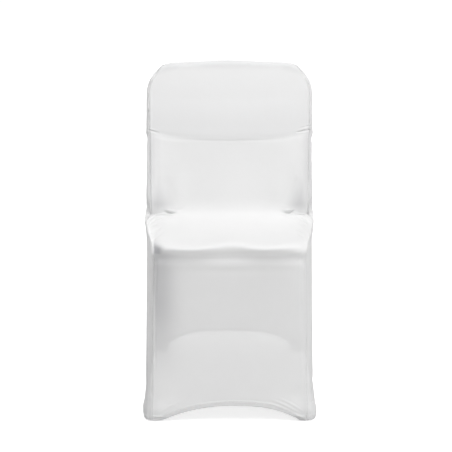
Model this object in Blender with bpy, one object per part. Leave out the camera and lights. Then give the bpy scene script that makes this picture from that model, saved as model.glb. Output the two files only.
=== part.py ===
"""Fitted cover for a folding chair, cut from white stretch knit: one strip down the front and over the seat,
one panel down the back, two side panels and four sewn foot pockets. Metres, +Z up, the front facing -Y.
The cover is hollow; the origin is where the chair's top rail carries it from below."""

from math import cos, pi, radians, sin

import bpy
import numpy as np

# Cloth
CLOTH = 0.0015
SEAM_GAP = 0.0006
TIP_CUT = 0.6
KNIT = (0.89, 0.89, 0.89, 1.0)

# The frame that the cloth is stretched over, measured from the floor at the front feet
RAIL_LEAN = 0.345
RAIL_FOOT_Y = 0.018
RAIL_R = 0.0135
RAIL_X = 0.1912
CORNER_R = 0.0625
TOP_RISE = 0.005
RAIL_TOP_Z = 0.8115
BACK_TOP = (0.3113, 0.8137)
BACK_SLOPE = 0.1729
SEAT_REAR_Z = 0.44

# Where the chair's top rail carries the cover
ORIGIN = (0.0, 0.298, RAIL_TOP_Z + RAIL_R - CLOTH)

# Top roll: turn of the cloth round the rail, from the outward side towards the front
TIP_TURN, FRONT_TURN, REAR_TURN = -30.0, 75.0, -61.0
TIP_ANGLE, FULL_ANGLE = 4.0, 50.0
ROLL_CENTRE_TURNS = (-30, -5, 20, 45, 68, 90)
ROLL_EDGE_ANGLES = (4, 14, 22, 29, 35, 41)
CORNER_ANGLES = (49, 57, 65, 73, 81, 90)

# Hems
HEM_Z = 0.0035
FRONT_ARCH, REAR_ARCH, SIDE_ARCH = 0.037, 0.046, 0.036
FRONT_ARCH_POWER = {-1: 1.9, 1: 2.8}
FRONT_ARCH_REACH = {-1: 0.87, 1: 0.91}
ARCH_FADE_Z = 0.25

# Foot pockets: centre x, centre y, slope of y with height
FEET = {"front": (0.1875, 0.014, 0.30), "rear": (0.1735, 0.4300, -0.17)}
REAR_POCKET = 0.93
SEATED = {
    # foot and side: moved outward, moved back
    ("front", -1): (0.0013, 0.0),
    ("front", 1): (0.0034, 0.0),
    ("rear", -1): (0.0013, 0.0008),
    ("rear", 1): (0.0027, 0.0024),
}
FOOT_BULGE = {-1: 0.2100, 1: 0.2122}
REAR_BULGE, REAR_TURNS = 0.96, (20, 66)
POCKET_WALL = 0.0015
POCKET_PROFILE = (
    # z, radius
    (0.0000, 0.0140),
    (0.0010, 0.0156),
    (0.0040, 0.0168),
    (0.0100, 0.0175),
    (0.0180, 0.0178),
    (0.0300, 0.0176),
    (0.0420, 0.0156),
)

# Stations down the cover, millimetres from the floor frame. rows: mesh rows from the station above.
# cy cz: front strip's centre. fx fy fz: front seam. ax az: outermost line of the side, on the rail.
# rz: rear seam. bz: back panel's centre. full: how late a row leaves its centre. lobe: bulge either side.
COLUMNS = "rows cy cz fx fy fz ax az rz bz full lobe".split()
STATIONS = {
    "corner_end": (0, 258.8, 739.5, 194.7, 263.3, 751.0, 204.7, 747, 744, 740, 4.0, 0),
    "plate_mid": (2, 245.0, 705.0, 194.7, 248.5, 708.0, 205.0, 703, 702, 700, 3.0, 0),
    "plate_low": (3, 227.4, 652.0, 194.7, 234.7, 668.0, 205.4, 663, 662, 655, 2.2, 0),
    "plate_edge": (1, 225.8, 641.0, 194.2, 231.6, 659.0, 205.2, 654, 650, 643, 2.2, 0),
    "under_plate": (1, 227.4, 629.0, 193.0, 226.2, 646.0, 202.3, 642, 638, 630, 2.2, 0),
    "span_mid": (3, 211.4, 580.0, 193.0, 207.7, 590.0, 203.2, 585, 600, 580, 3.0, 2),
    "span_low": (3, 193.5, 520.0, 192.2, 186.4, 528.0, 203.6, 520, 560, 535, 3.0, 4),
    "fillet_top": (2, 184.5, 492.0, 189.5, 179.0, 500.0, 203.8, 497, 540, 510, 3.0, 5),
    "fillet_mid": (2, 174.0, 474.5, 181.0, 186.5, 479.0, 203.2, 482, 524, 492, 3.5, 5),
    "dimple": (1, 160.0, 464.5, 175.5, 194.0, 467.5, 205.4, 472, 512, 478, 4.0, 3),
    "pinch": (1, 145.0, 459.5, 190.0, 184.0, 464.5, 207.0, 465, 500, 466, 5.0, 1),
    "bump": (1, 128.0, 456.8, 203.5, 162.0, 459.0, 207.8, 454, 487, 454, 6.0, 0),
    "seat_mid": (3, 80.0, 453.6, 197.0, 102.0, 455.5, 206.0, 436, 455, 426, 6.0, 0),
    "seat_front": (3, 22.0, 452.2, 187.5, 47.0, 451.5, 203.4, 412, 415, 391, 7.0, -3),
    "lip_top": (1, -2.0, 450.0, 181.8, 21.0, 446.0, 203.0, 394, 390, 370, 8.0, -9),
    "lip_front": (1, -12.0, 444.0, 178.8, 8.0, 438.5, 203.0, 382, 376, 356, 8.0, -10),
    "lip_under": (1, -14.5, 434.5, 177.6, 0.5, 428.5, 203.0, 370, 363, 343, 8.0, -8),
    "apron_crease": (1, -10.5, 424.0, 177.3, -3.0, 417.0, 203.0, 358, 350, 330, 6.0, -4),
    "apron_top": (1, -12.0, 409.0, 177.8, -5.0, 402.0, 203.0, 344, 335, 315, 6.0, -1),
    "apron_mid": (4, -9.5, 300.0, 183.5, -6.0, 298.0, 202.8, 262, 250, 236, 4.0, 0),
    "apron_low": (4, -7.0, 160.0, 188.0, -6.0, 158.0, 202.8, 146, 140, 136, 4.0, 0),
    "ankle": (3, -6.0, 68.0, 189.5, -5.0, 64.0, 203.6, 62, 61, 62, 4.0, 0),
    "foot_wide": (2, -5.5, 32.0, 189.0, -9.5, 32.0, 210.5, 31, 31, 32, 4.0, 0),
    "foot_low": (1, -5.0, 15.0, 188.5, -9.5, 15.0, 210.4, 15, 15, 15, 4.0, 0),
    "hem": (1, -5.0, 3.5, 187.5, -8.0, 3.5, 208.2, 3.5, 3.5, 3.5, 4.0, 0),
}

# Mesh columns across half the front strip, half the back panel, and the spans of a side row
FRONT_HALF, BACK_HALF = 11, 7
SIDE_SPANS = (2, 2, 1, 6, 3)

for old in list(bpy.data.objects):
    bpy.data.objects.remove(old, do_unlink=True)

LEAN = np.arctan(RAIL_LEAN)
ALONG = np.array([0.0, sin(LEAN), cos(LEAN)])
AHEAD = np.array([0.0, -cos(LEAN), sin(LEAN)])
TOP_H = RAIL_TOP_Z / cos(LEAN)
CORNER_H = TOP_H - TOP_RISE - CORNER_R
CORNER_X = RAIL_X - CORNER_R


def rail_y(z):
    return RAIL_FOOT_Y + RAIL_LEAN * z


def back_y(z):
    """The taut line of the back, from the rear of the top rail to the rear feet, eased out by the seat's edge."""
    line = BACK_TOP[0] + BACK_SLOPE * (BACK_TOP[1] - z)
    return line + 0.003 * np.exp(-(((z - SEAT_REAR_Z) / 0.03) ** 2))


def smooth(t):
    t = min(max(t, 0.0), 1.0)
    return t * t * (3 - 2 * t)


def slopes(x, y):
    """Slopes at the knots that never overshoot them."""
    step, rise = np.diff(x), np.diff(y)
    secant = rise / step
    m = np.zeros(len(x))
    m[0], m[-1] = secant[0], secant[-1]
    for k in range(1, len(x) - 1):
        a, b = secant[k - 1], secant[k]
        if a * b > 0:
            wa, wb = 2 * step[k] + step[k - 1], step[k] + 2 * step[k - 1]
            m[k] = (wa + wb) / (wa / a + wb / b)
    return m


def curve(x, y, at):
    """A smooth curve through (x, y) without overshoot, read at the places at."""
    x, y, at = np.asarray(x, float), np.asarray(y, float), np.asarray(at, float)
    m = slopes(x, y)
    k = np.clip(np.searchsorted(x, at, side="right") - 1, 0, len(x) - 2)
    h = x[k + 1] - x[k]
    t = (at - x[k]) / h
    a = (1 + 2 * t) * (1 - t) ** 2 * y[k] + t * (1 - t) ** 2 * h * m[k]
    return a + t * t * (3 - 2 * t) * y[k + 1] + t * t * (t - 1) * h * m[k + 1]


def top_rise(x):
    """How much higher the top rail is here than where its corners begin."""
    return TOP_RISE * (1 + cos(pi * min(abs(x) / CORNER_X, 1.0))) / 2


def rail_at(q):
    """Rail centre and outward direction at distance q along the rail from the top's middle."""
    angle = min(max((q - CORNER_X) / CORNER_R, 0.0), pi / 2)
    x = min(q, CORNER_X) + CORNER_R * sin(angle)
    h = CORNER_H + CORNER_R * cos(angle) + top_rise(x)
    h -= max(q - CORNER_X - CORNER_R * pi / 2, 0.0)
    centre = np.array([x, RAIL_FOOT_Y, 0.0]) + h * ALONG
    return centre, np.array([sin(angle), 0.0, 0.0]) + cos(angle) * ALONG


def roll(q, turn):
    """A point of the cloth on the rail, turned by so many degrees from outward towards the front."""
    centre, outward = rail_at(q)
    a = radians(turn)
    return centre + RAIL_R * (cos(a) * outward + sin(a) * AHEAD)


def corner_q(angle):
    return CORNER_X + CORNER_R * radians(angle)


def share(angle):
    return smooth((angle - TIP_ANGLE) / (FULL_ANGLE - TIP_ANGLE))


def corner_side(angle, end):
    """Side row at this angle of the top corner, growing from a tip into the row end."""
    g, q = share(angle), corner_q(angle)
    turns = TIP_TURN + g * (np.array([FRONT_TURN, 45.0, 0.0, -25.0, -45.0, REAR_TURN]) - TIP_TURN)
    row = np.array([roll(q, turn) for turn in turns])
    a = radians(angle)
    rear_r = CORNER_R + 0.002
    rear_z = BACK_TOP[1] - TOP_RISE - rear_r * (1 - cos(a))
    rear = np.array([CORNER_X + rear_r * sin(a), back_y(rear_z), rear_z])
    row[5] = row[5] + g * (rear - row[5])
    lift = row[5] - end[5]
    row[4] = row[4] + g * g * (end[4] + lift - row[4])
    return row


def turned(degrees):
    return np.array([cos(radians(degrees)), sin(radians(degrees)), 0.0])


def rear_x(z):
    return 0.1915 - 0.008 * (0.768 - z) / 0.7 + 0.0065 * np.exp(-(((z - 0.028) / 0.022) ** 2))


def side_knots(s, side):
    """The six points that a side row passes: front seam, rail, rail, behind it, rear corner, rear seam."""
    fx, fy, fz, ax, az, rz = (s[c] / 1000 for c in ("fx", "fy", "fz", "ax", "az", "rz"))
    foot = smooth((0.075 - az) / 0.04)
    ax = ax + foot * (FOOT_BULGE[side] - 0.2105)
    heel_x, heel_y, heel_slope = FEET["front"]
    heel_y += heel_slope * az
    front = np.array([fx, fy, fz])
    apex = np.array([ax, rail_y(az) + foot * (heel_y - rail_y(az)), az])
    seam = np.array([rear_x(rz), back_y(rz), rz])
    corner = seam + np.array([0.0085, -0.0125, 0.004 * (az - rz) / 0.05])
    rear_x0, rear_y0, rear_slope = FEET["rear"]
    rear_y0 += rear_slope * rz
    heel = REAR_BULGE * (ax - heel_x)
    rear_foot = np.array([rear_x0, rear_y0, rz])
    seam = seam + foot * (rear_foot + heel * turned(REAR_TURNS[1]) - seam)
    corner = corner + foot * (rear_foot + heel * turned(REAR_TURNS[0]) - corner)
    reach = front - apex
    far = np.linalg.norm(reach)
    near = apex + reach * min(0.016 / far, 0.5)
    on_rail = roll(CORNER_X + CORNER_R * pi / 2 + CORNER_H - az / cos(LEAN), 45.0)
    wrapped = smooth((fz - 0.47) / 0.05)
    near = near + wrapped * (on_rail - near)
    bulb = (ax - heel_x) * cos(pi / 4)
    near = near + foot * (np.array([heel_x + bulb, heel_y - bulb, (az + fz) / 2]) - near)
    back = corner - apex
    behind = apex + back * 0.016 / np.linalg.norm(back)
    behind[0] += 0.0015 * (1 - foot)
    return np.array([front, near, apex, behind, corner, seam])


def side_row(knots, spans):
    """A smooth row through the knots, with so many mesh columns in each span."""
    steps = np.linalg.norm(np.diff(knots, axis=0), axis=1)
    x = np.concatenate([[0.0], np.cumsum(np.maximum(steps, 1e-6))])
    at = [x[0]]
    for k, count in enumerate(spans):
        at.extend(x[k] + (x[k + 1] - x[k]) * (i + 1) / count for i in range(count))
    return np.stack([curve(x, knots[:, c], at) for c in range(3)], axis=1)


def station_rows():
    """The table's stations and the rows between them, each as a dict."""
    names = list(STATIONS)
    table = np.array([STATIONS[n] for n in names], float)
    at = [0.0]
    for k in range(1, len(names)):
        count = int(table[k, 0])
        at.extend(k - 1 + (i + 1) / count for i in range(count))
    knots = np.arange(len(names))
    values = {c: curve(knots, table[:, i], at) for i, c in enumerate(COLUMNS) if i}
    return [{c: values[c][r] for c in values} for r in range(len(at))]


def front_half(s, count):
    """Half a row of the front strip, from its centre to its seam."""
    u = np.linspace(0, 1, count + 1) ** 0.85
    bend = u ** s["full"]
    x = u * s["fx"]
    y = s["cy"] + (s["fy"] - s["cy"]) * bend + s["lobe"] * np.sin(pi * u) ** 2
    z = s["cz"] + (s["fz"] - s["cz"]) * bend
    return np.stack([x, y, z], axis=1) / 1000


def back_half(seam, centre_y, centre_z, count):
    u = np.linspace(0, 1, count + 1)
    z = centre_z + (seam[2] - centre_z) * u**4
    y = centre_y + (seam[1] - centre_y) * u**4
    return np.stack([u * seam[0], y, z], axis=1)


def outline_depth(x, h):
    """How far the cloth stands ahead of the rail's plane, rounding off at the outline."""
    outer = CORNER_R + RAIL_R
    dx, dh = max(x - CORNER_X, 0.0), max(h - CORNER_H - top_rise(x), 0.0)
    inside = outer - np.hypot(dx, dh)
    if inside >= RAIL_R:
        return RAIL_R
    return RAIL_R * np.sqrt(max(1 - (1 - inside / RAIL_R) ** 2, 0.0))


def in_plane(point):
    moved = point - np.array([0.0, RAIL_FOOT_Y, 0.0])
    return np.array([point[0], moved @ ALONG])


def top_front_rows(first, count):
    """Half rows from the top seam down to the row first, over the roll and round the corner."""
    u = np.linspace(0, 1, count + 1) ** 0.85
    rows = []
    for turn, angle in zip(ROLL_CENTRE_TURNS, ROLL_EDGE_ANGLES):
        edge = TIP_TURN + share(angle) * (FRONT_TURN - TIP_TURN)
        q = corner_q(angle)
        rows.append(np.array([roll(q * v, turn + (edge - turn) * v**3) for v in u]))
    upper = np.array([in_plane(p) for p in rows[-1]])
    lower = np.array([in_plane(p) for p in first])
    for k, angle in enumerate(CORNER_ANGLES[:-1]):
        t = (k + 1) / len(CORNER_ANGLES)
        flat = upper + (lower - upper) * t
        edge = TIP_TURN + share(angle) * (FRONT_TURN - TIP_TURN)
        shift = in_plane(roll(corner_q(angle), edge)) - flat[-1]
        flat = flat + shift * u[:, None] ** 4
        base = np.array([0.0, RAIL_FOOT_Y, 0.0])
        deep = [base + [x, 0, 0] + h * ALONG + outline_depth(x, h) * AHEAD for x, h in flat]
        rows.append(np.array(deep))
    return rows


def arch(z, height, shape):
    """Lift of a row towards the hem's arch, fading out above it."""
    fade = np.clip(1 - z / ARCH_FADE_Z, 0, 1) ** 1.5
    full = (1 - HEM_Z / ARCH_FADE_Z) ** 1.5
    return height * shape * fade / full


def half_sleeve(side):
    """Rows of front, side and back points for one side of the cover; x is positive."""
    stations = station_rows()
    ends = [side_knots(s, side) for s in stations]
    angles = ROLL_EDGE_ANGLES + CORNER_ANGLES[:-1]
    knots = [corner_side(a, ends[0]) for a in angles] + ends
    front = [front_half(s, FRONT_HALF) for s in stations]
    front = top_front_rows(front[0], FRONT_HALF) + front
    top = RAIL_TOP_Z
    back = []
    for k, row in enumerate(knots):
        if k < 3:
            middle = roll(0.0, (TIP_TURN, -42.0, -54.0)[k])[1:]
        elif k < len(angles):
            z = 0.815 - (0.815 - stations[0]["bz"] / 1000) * (k - 2) / (len(angles) - 2)
            middle = (back_y(min(z, BACK_TOP[1])), z)
        else:
            z = stations[k - len(angles)]["bz"] / 1000
            middle = (back_y(z), z)
        back.append(back_half(row[5], middle[0], middle[1], BACK_HALF))
    sides = [side_row(row, SIDE_SPANS) for row in knots]
    front, sides, back = np.array(front), np.array(sides), np.array(back)
    u = front[:, :, 0] / front[:, -1:, 0]
    shape = 1 - np.clip(u / FRONT_ARCH_REACH[side], 0, 1) ** FRONT_ARCH_POWER[side]
    front[:, :, 2] += arch(front[:, :, 2], FRONT_ARCH, shape)
    u = back[:, :, 0] / back[:, -1:, 0]
    back[:, :, 2] += arch(back[:, :, 2], REAR_ARCH, 1 - np.clip(u / 0.95, 0, 1) ** 4)
    v = np.linspace(0, 1, sides.shape[1])
    ease = np.clip((sides[:, :, 1] - 0.045) / (0.405 - 0.045), 0, 1)
    sides[:, :, 2] += arch(sides[:, :, 2], SIDE_ARCH, np.sin(pi * ease) ** 0.8)
    sides[:, :, 0] -= 0.003 * np.sin(pi * v) ** 2 * np.sin(pi * ease) ** 2
    return front, sides, back


def mirrored(points):
    return points * np.array([-1.0, 1.0, 1.0])


def grid_normals(grid):
    """Unit normals of a sleeve of points, closed round each row, facing out."""
    across = np.roll(grid, -1, axis=1) - np.roll(grid, 1, axis=1)
    down = np.empty_like(grid)
    down[1:-1] = grid[2:] - grid[:-2]
    down[0], down[-1] = grid[1] - grid[0], grid[-1] - grid[-2]
    normal = np.cross(down, across)
    size = np.linalg.norm(normal, axis=2, keepdims=True)
    return normal / np.maximum(size, 1e-12)


def drawn_in(edge, normal, distance):
    """How far a panel's edge moves, square to itself within the sheet, to leave half a seam's gap."""
    way = np.cross(normal, np.gradient(edge, axis=0))
    size = np.linalg.norm(way, axis=1, keepdims=True)
    return way / np.maximum(size, 1e-9) * distance


def trimmed(grid, normal, first_row):
    """A panel's grid drawn in from its two seams, and from the top seam."""
    v = np.linspace(0, 1, grid.shape[1])[None, :, None]
    start = drawn_in(grid[:, 0], normal[:, 0], SEAM_GAP / 2)[:, None]
    end = drawn_in(grid[:, -1], normal[:, -1], -SEAM_GAP / 2)[:, None]
    grid = grid + (1 - v) * start + v * end
    if first_row:
        grid[0] += drawn_in(grid[0], normal[0], -SEAM_GAP / 2)
    return grid


def panel(name, outer, inner):
    """One closed sheet between two grids of points of the same size."""
    rows, columns = outer.shape[:2]
    count = rows * columns
    points = np.concatenate([outer.reshape(-1, 3), inner.reshape(-1, 3)]) - np.array(ORIGIN)
    index = np.arange(count).reshape(rows, columns)
    faces = []
    for r in range(rows - 1):
        for c in range(columns - 1):
            a, b, d, e = index[r, c], index[r + 1, c], index[r + 1, c + 1], index[r, c + 1]
            faces.append((a, b, d, e))
            faces.append((count + e, count + d, count + b, count + a))
    ring = list(index[:, 0]) + list(index[-1, 1:]) + list(index[-2::-1, -1]) + list(index[0, -2:0:-1])
    for a, b in zip(ring, ring[1:] + ring[:1]):
        if a // columns <= b // columns:
            faces += [(b, a, count + b), (a, count + a, count + b)]
        else:
            faces += [(b, a, count + a), (b, count + a, count + b)]
    return solid(name, points, faces)


def solid(name, points, faces):
    mesh = bpy.data.meshes.new(name)
    mesh.from_pydata([tuple(map(float, p)) for p in points], [], [tuple(map(int, f)) for f in faces])
    for face in mesh.polygons:
        face.use_smooth = True
    material = bpy.data.materials.new(name + "_knit")
    material.use_nodes = True
    shader = material.node_tree.nodes["Principled BSDF"]
    shader.inputs["Base Color"].default_value = KNIT
    shader.inputs["Roughness"].default_value = 0.85
    mesh.materials.append(material)
    made = bpy.data.objects.new(name, mesh)
    bpy.context.scene.collection.objects.link(made)
    return made


def foot_pocket(name, foot, side, segments=20):
    """A shallow cup sewn inside a hem corner, closing under the chair's foot."""
    x, y, slope = FEET[foot]
    x, y = x + SEATED[foot, side][0], y + SEATED[foot, side][1]
    wide = REAR_POCKET if foot == "rear" else 1.0
    outer = [(z, r * wide) for z, r in POCKET_PROFILE]
    inner = [(max(z, POCKET_WALL), r - POCKET_WALL) for z, r in outer[1:]]
    rings = outer + inner[::-1]
    points = [(side * x, y, 0.0)]
    for z, r in rings:
        for k in range(segments):
            a = 2 * pi * k / segments
            points.append((side * x + r * cos(a), y + slope * z + r * sin(a), z))
    points.append((side * x, y + slope * POCKET_WALL, POCKET_WALL))
    faces = []
    for k in range(segments):
        n = (k + 1) % segments
        faces.append((0, 1 + n, 1 + k))
        for ring in range(len(rings) - 1):
            a, b = 1 + ring * segments, 1 + (ring + 1) * segments
            faces.append((a + k, a + n, b + n, b + k))
        a = 1 + (len(rings) - 1) * segments
        faces.append((a + k, a + n, len(points) - 1))
    return solid(name, np.array(points) - np.array(ORIGIN), faces)


right_front, right_side, right_back = half_sleeve(1)
left_front, left_side, left_back = (mirrored(g) for g in half_sleeve(-1))

# One sleeve round the cover: across the front from left to right, round the right side, across the back, back round
front = np.concatenate([left_front[:, :0:-1], right_front], axis=1)
back = np.concatenate([right_back[:, ::-1], left_back[:, 1:]], axis=1)
sleeve = np.concatenate([front, right_side[:, 1:], back[:, 1:], left_side[:, -2:0:-1]], axis=1)
normals = grid_normals(sleeve)
normals[0] = np.array([0.0, sin(LEAN + radians(-TIP_TURN)), cos(LEAN + radians(-TIP_TURN))])
lining = sleeve - CLOTH * normals

widths = (front.shape[1], right_side.shape[1], back.shape[1], left_side.shape[1])
starts = np.cumsum((0,) + tuple(w - 1 for w in widths))
names = ("front_panel", "side_panel_right", "back_panel", "side_panel_left")
for name, start, width in zip(names, starts, widths):
    columns = np.arange(start, start + width) % sleeve.shape[1]
    outside, inside, facing = sleeve[:, columns], lining[:, columns], normals[:, columns]
    has_top = not name.startswith("side")
    if not has_top:
        for grid in (outside, inside):
            grid[0] = grid[0] + TIP_CUT * (grid[1] - grid[0])
    panel(name, trimmed(outside, facing, has_top), trimmed(inside, facing, has_top))

for foot in FEET:
    for side, word in ((-1, "left"), (1, "right")):
        foot_pocket(f"foot_pocket_{foot}_{word}", foot, side)
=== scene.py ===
from math import cos, pi, radians, sin

import bmesh
import bpy
import numpy as np
from mathutils import Matrix, Vector


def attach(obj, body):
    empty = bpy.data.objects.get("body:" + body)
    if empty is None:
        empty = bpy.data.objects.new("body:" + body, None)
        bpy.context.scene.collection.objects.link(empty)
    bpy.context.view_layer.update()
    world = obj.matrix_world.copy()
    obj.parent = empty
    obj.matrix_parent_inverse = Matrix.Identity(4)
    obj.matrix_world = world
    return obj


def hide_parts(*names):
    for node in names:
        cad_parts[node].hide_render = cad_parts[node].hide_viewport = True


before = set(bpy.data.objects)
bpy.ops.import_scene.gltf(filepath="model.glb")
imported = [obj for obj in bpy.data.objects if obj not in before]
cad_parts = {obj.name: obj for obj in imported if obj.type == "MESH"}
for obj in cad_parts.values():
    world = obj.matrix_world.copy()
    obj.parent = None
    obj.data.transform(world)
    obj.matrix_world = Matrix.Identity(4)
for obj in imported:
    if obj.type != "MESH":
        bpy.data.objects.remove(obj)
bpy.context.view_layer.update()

# The studio. A camera raised 19 degrees in front of the cover, a white sweep that stands for floor and
# backdrop, a broad softbox overhead, one behind, and weak ones low at the front right and on either side.
# ORIGIN is the frame's origin, from the floor at the front feet, where the cover's own sizes start.
ORIGIN = np.array([0.0, 0.298, 0.8235])
FLOOR_Z = -ORIGIN[2]
lens = bpy.data.cameras.new("camera")
lens.sensor_width = 36.0
lens.lens = 130.82
lens.shift_x = -0.0075
lens.shift_y = 0.0238
lens.clip_end = 100.0
camera = bpy.data.objects.new("camera", lens)
camera.location = (0.0, -3.9301, 0.8988)
camera.rotation_euler = (radians(71.0), 0.0, 0.0)
bpy.context.scene.collection.objects.link(camera)
bpy.context.scene.camera = camera


def with_inputs(node, values):
    """The node with these of its inputs set."""
    for name, value in values.items():
        node.inputs[name].default_value = value
    return node


def new_material(name, finish):
    """A material with this finish, and its nodes and links."""
    made = bpy.data.materials.new(name)
    made.use_nodes = True
    with_inputs(made.node_tree.nodes["Principled BSDF"], finish)
    return made, made.node_tree.nodes, made.node_tree.links


def modelled(build, name, material):
    """The bmesh as an object in the scene, of this material."""
    mesh = bpy.data.meshes.new(name)
    build.to_mesh(mesh)
    build.free()
    mesh.materials.append(material)
    made = bpy.data.objects.new(name, mesh)
    bpy.context.scene.collection.objects.link(made)
    return made


# The sweep throws back the light of plain pale paper, and is blown out to white for the camera alone.
SWEEP_HALF, SWEEP_SQUARES = 20.0, 8
PAPER_GREY, BLOWN_OUT = (0.66, 0.66, 0.66, 1.0), 0.66
PAPER = {"Base Color": PAPER_GREY, "Roughness": 0.9, "Specular IOR Level": 0.1, "Emission Color": (1, 1, 1, 1)}
paper, nodes, links = new_material("white_paper", PAPER)
glow = nodes.new("ShaderNodeMath")
glow.operation = "MULTIPLY"
glow.inputs[1].default_value = BLOWN_OUT
links.new(nodes.new("ShaderNodeLightPath").outputs["Is Camera Ray"], glow.inputs[0])
links.new(glow.outputs[0], nodes["Principled BSDF"].inputs["Emission Strength"])
build = bmesh.new()
bmesh.ops.create_grid(build, x_segments=SWEEP_SQUARES, y_segments=SWEEP_SQUARES, size=SWEEP_HALF)
bmesh.ops.translate(build, vec=(0.0, 0.0, FLOOR_Z), verts=build.verts)
studio_floor = modelled(build, "studio_floor", paper)


def softbox(name, place, aim, width, height, watts):
    """A rectangular studio light at place, facing aim."""
    light = bpy.data.lights.new(name, "AREA")
    light.shape = "RECTANGLE"
    light.size, light.size_y, light.energy = width, height, watts
    lamp = bpy.data.objects.new(name, light)
    lamp.location = place
    lamp.rotation_euler = (Vector(aim) - Vector(place)).to_track_quat("-Z", "Y").to_euler()
    bpy.context.scene.collection.objects.link(lamp)


softbox("softbox_key", (0.25, -1.1, 2.9), (0.0, 0.0, -0.3), 2.2, 1.8, 83.0)
softbox("softbox_low_front", (1.5, -3.3, -0.25), (0.0, 0.0, -0.45), 1.4, 1.0, 20.0)
softbox("softbox_behind", (-0.8, 3.2, 1.4), (0.0, 0.0, -0.4), 1.8, 1.4, 50.0)
softbox("softbox_left", (-3.0, 0.4, 0.0), (0.0, 0.0, -0.4), 1.2, 1.4, 5.0)
softbox("softbox_right", (3.0, 0.4, 0.0), (0.0, 0.0, -0.4), 1.2, 1.4, 11.0)

# The room's fill is even all round but for a narrow flag on either side, which takes a little of it. The stops
# run from far left, 0, to far right, 1.
FILL, FLAG = 0.53, 0.04
FILL_STOPS = ((0.0, 1 - FLAG), (0.22, 1 - FLAG), (0.42, 1.0), (0.60, 1.0), (0.80, 1 - FLAG), (1.0, 1 - FLAG))
world = bpy.data.worlds.new("studio_air")
world.use_nodes = True
air = world.node_tree
toward = air.nodes.new("ShaderNodeTexCoord")
sideways = air.nodes.new("ShaderNodeSeparateXYZ")
fill = air.nodes.new("ShaderNodeValToRGB")
stops = fill.color_ramp.elements
stops[0].position, stops[1].position = 0.0, 1.0
for place, level in FILL_STOPS:
    stop = stops.new(place) if 0 < place < 1 else stops[0 if place == 0 else -1]
    stop.color = (level, level, level, 1.0)
half = air.nodes.new("ShaderNodeMath")
half.operation = "MULTIPLY_ADD"
half.inputs[1].default_value = half.inputs[2].default_value = 0.5
air.links.new(toward.outputs["Generated"], sideways.inputs[0])
air.links.new(sideways.outputs["X"], half.inputs[0])
air.links.new(half.outputs[0], fill.inputs["Fac"])
air.links.new(fill.outputs["Color"], air.nodes["Background"].inputs["Color"])
air.nodes["Background"].inputs["Strength"].default_value = FILL
bpy.context.scene.world = world
bpy.context.scene.view_settings.view_transform = "Standard"

# The cover's body, as it stands when stretched. Front strip, two side panels and back panel are one taut
# sleeve of knit, so their shape is worked out once, as rows round the sleeve from the top roll down to the
# hem, and each panel is cut from it between its seams. Sizes are from the floor at the front feet.

# The rounded top: a rail that leans back, bent at both corners, with the cloth rolled over it.
RAIL_LEAN = 0.345
RAIL_FOOT_Y = 0.018
RAIL_R = 0.0135
RAIL_X = 0.1912
CORNER_R = 0.0625
TOP_RISE = 0.005
RAIL_TOP_Z = 0.8115

# The back's taut line: its top (y, z), its slope, and how far the seat's rear edge eases it out, and where.
BACK_TOP = (0.3113, 0.8137)
BACK_SLOPE = 0.1729
BACK_EASE, SEAT_REAR_Z, BACK_EASE_REACH = 0.003, 0.44, 0.03

# Where the cloth's edges lie on the roll, in degrees turned from outward to the front: the tip of the side
# panel, its front seam and its rear seam. The panel grows from tip to full width between two corner angles.
TIP_TURN, FRONT_TURN, REAR_TURN = -30.0, 75.0, -61.0
SIDE_TURNS = (FRONT_TURN, 45.0, 0.0, -25.0, -45.0, REAR_TURN)
TIP_ANGLE, FULL_ANGLE = 4.0, 50.0
ROLL_CENTRE_TURNS = (-30, -5, 20, 45, 68, 90)
ROLL_EDGE_ANGLES = (4, 14, 22, 29, 35, 41)
CORNER_ANGLES = (49, 57, 65, 73, 81, 90)
BACK_TOP_TURNS = (TIP_TURN, -42.0, -54.0)
BACK_PANEL_Z = 0.815  # where the back panel's middle leaves the roll

# The hem's arches between the feet: rise, share of the half width that they reach, and power of the curve.
# They fade out at ARCH_FADE_Z, and the sides draw in there by SIDE_DRAW. -1 is the left side, and 1 the right.
HEM_Z = 0.0035
FRONT_ARCH, REAR_ARCH, SIDE_ARCH = 0.037, 0.046, 0.036
FRONT_ARCH_POWER = {-1: 1.9, 1: 2.8}
FRONT_ARCH_REACH = {-1: 0.87, 1: 0.91}
REAR_ARCH_REACH, REAR_ARCH_POWER = 0.95, 4
SIDE_ARCH_Y = (0.045, 0.405)
SIDE_DRAW = 0.003
ARCH_FADE_Z = 0.25

# The cloth round the feet: centre x, centre y and slope of y with height, the outermost x of the bulge, the
# height where it starts and over how much it grows, and the waist above it, with its height and reach.
FEET = {"front": (0.1875, 0.014, 0.30), "rear": (0.1735, 0.4300, -0.17)}
FOOT_BULGE, BULGE_X = {-1: 0.2100, 1: 0.2122}, 0.2105
FOOT_TOP, FOOT_GROWS = {-1: 0.074, 1: 0.060}, 0.036
WAIST, WAIST_Z, WAIST_REACH = {-1: 0.0, 1: 0.0055}, 0.056, 0.024
REAR_BULGE, REAR_TURNS = 0.96, (20, 66)

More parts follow.
